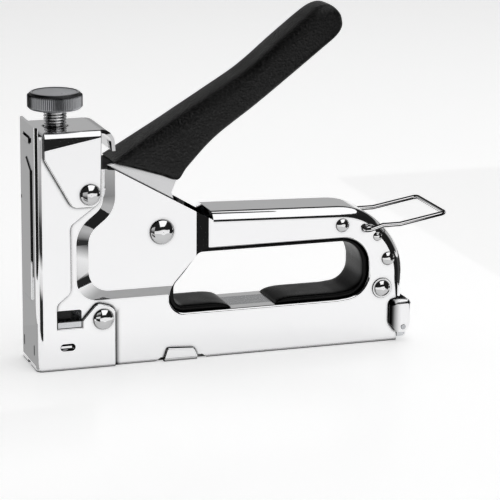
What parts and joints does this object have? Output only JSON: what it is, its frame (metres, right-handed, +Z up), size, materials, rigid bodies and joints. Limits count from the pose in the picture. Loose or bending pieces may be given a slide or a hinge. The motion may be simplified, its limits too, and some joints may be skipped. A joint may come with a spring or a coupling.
{
  "type": "staple gun",
  "caption": "Hand staple gun: folded sheet body with finger opening, squeeze lever, spring plunger, power knob, sliding magazine and wire lever lock.",
  "frame": {"origin": "foot of the nose: on the centre plane, where the driver blade's front face comes down 1.8 mm behind the nose's front face, on the base plane that the tool stands on", "axes": "+X runs back along the magazine from the nose, +Z is up along the nose, the tool is symmetrical about Y = 0"},
  "size_m": [0.1845, 0.0356, 0.15],
  "materials": {
    "chrome": "bright chrome plate over pressed steel",
    "zinc_steel": "bright zinc-plated steel",
    "spring_steel": "oiled spring steel",
    "blade_steel": "hardened steel, ground",
    "black_chrome": "dark nickel plate, satin top and knurled edge",
    "grip_rubber": "fine-grained soft moulded coating",
    "pad_plastic": "satin moulded plastic",
    "bumper_rubber": "hard rubber"
  },
  "bodies": {
    "frame": {"body_shell": "chrome", "nose_housing": "chrome", "top_bracket": "chrome", "power_nut": "zinc_steel", "bracket_rivet": "chrome", "nose_rivet": "chrome", "lever_pivot_pin": "chrome", "rear_rivets": "chrome", "small_rivet": "chrome", "rear_stud": "chrome", "stud_washers": "black_chrome", "pivot_washers": "zinc_steel", "spacer_tubes": "zinc_steel", "front_finger_pad": "pad_plastic", "rear_finger_pad": "pad_plastic", "magazine_channel": "zinc_steel", "magazine_roof": "zinc_steel", "bumper_bracket": "zinc_steel", "bumper_pad": "bumper_rubber"},
    "lever": {"lever_arm": "chrome", "lever_grip": "grip_rubber", "lift_pin": "blade_steel", "pivot_bush": "zinc_steel", "lever_return_spring": "spring_steel"},
    "plunger": {"plunger": "blade_steel", "driver_blade": "blade_steel", "blade_rivets": "zinc_steel"},
    "spring_seat": {"spring_seat": "zinc_steel", "drive_spring": "spring_steel"},
    "power_screw": {"power_screw": "zinc_steel", "power_knob": "black_chrome"},
    "wire_loop": {"wire_loop": "chrome"},
    "magazine": {"staple_rail": "zinc_steel", "end_block": "zinc_steel", "guide_rod": "zinc_steel", "latch_pin": "blade_steel", "pusher_spring": "spring_steel"},
    "pusher": {"staple_pusher": "zinc_steel"},
    "latch": {"latch_clip": "chrome"}
  },
  "joints": [
    {"name": "lever_squeeze", "type": "hinge", "parent": "frame", "child": "lever", "pos_m": [0.0524, 0, 0.0576], "axis": [0, 1, 0], "range_deg": [0, 38], "stiffness_Nm_per_rad": 1.2, "springref_deg": -25.78},
    {"name": "plunger_lift", "type": "slide", "parent": "frame", "child": "plunger", "axis": [0, 0, 1], "range_m": [0, 0.01843], "deforming": ["drive_spring"]},
    {"name": "power_turn", "type": "hinge", "parent": "spring_seat", "child": "power_screw", "pos_m": [0.0105, 0, 0.11], "axis": [0, 0, 1], "range_deg": [-1441, 361]},
    {"name": "seat_travel", "type": "slide", "parent": "frame", "child": "spring_seat", "axis": [0, 0, 1], "range_m": [-0.005, 0.00125]},
    {"name": "wire_lock_swing", "type": "hinge", "parent": "frame", "child": "wire_loop", "pos_m": [0.145, 0, 0.0516], "axis": [0, 1, 0], "range_deg": [-27, 48]},
    {"name": "magazine_slide", "type": "slide", "parent": "frame", "child": "magazine", "axis": [1, 0, 0], "range_m": [0, 0.1]},
    {"name": "pusher_slide", "type": "slide", "parent": "magazine", "child": "pusher", "axis": [1, 0, 0], "range_m": [0, 0.085], "stiffness_N_per_m": 25, "springref_m": -0.08, "deforming": ["pusher_spring"]},
    {"name": "latch_swing", "type": "hinge", "parent": "magazine", "child": "latch", "pos_m": [0.163, 0, 0.0066], "axis": [0, 1, 0], "range_deg": [0, 20], "stiffness_Nm_per_rad": 0.03, "springref_deg": -34.38}
  ],
  "couplings": [
    {"joint": "plunger_lift", "follows": "lever_squeeze", "m_per_rad": 0.02749},
    {"joint": "power_turn", "follows": "seat_travel", "rad_per_m": 5026.5}
  ]
}
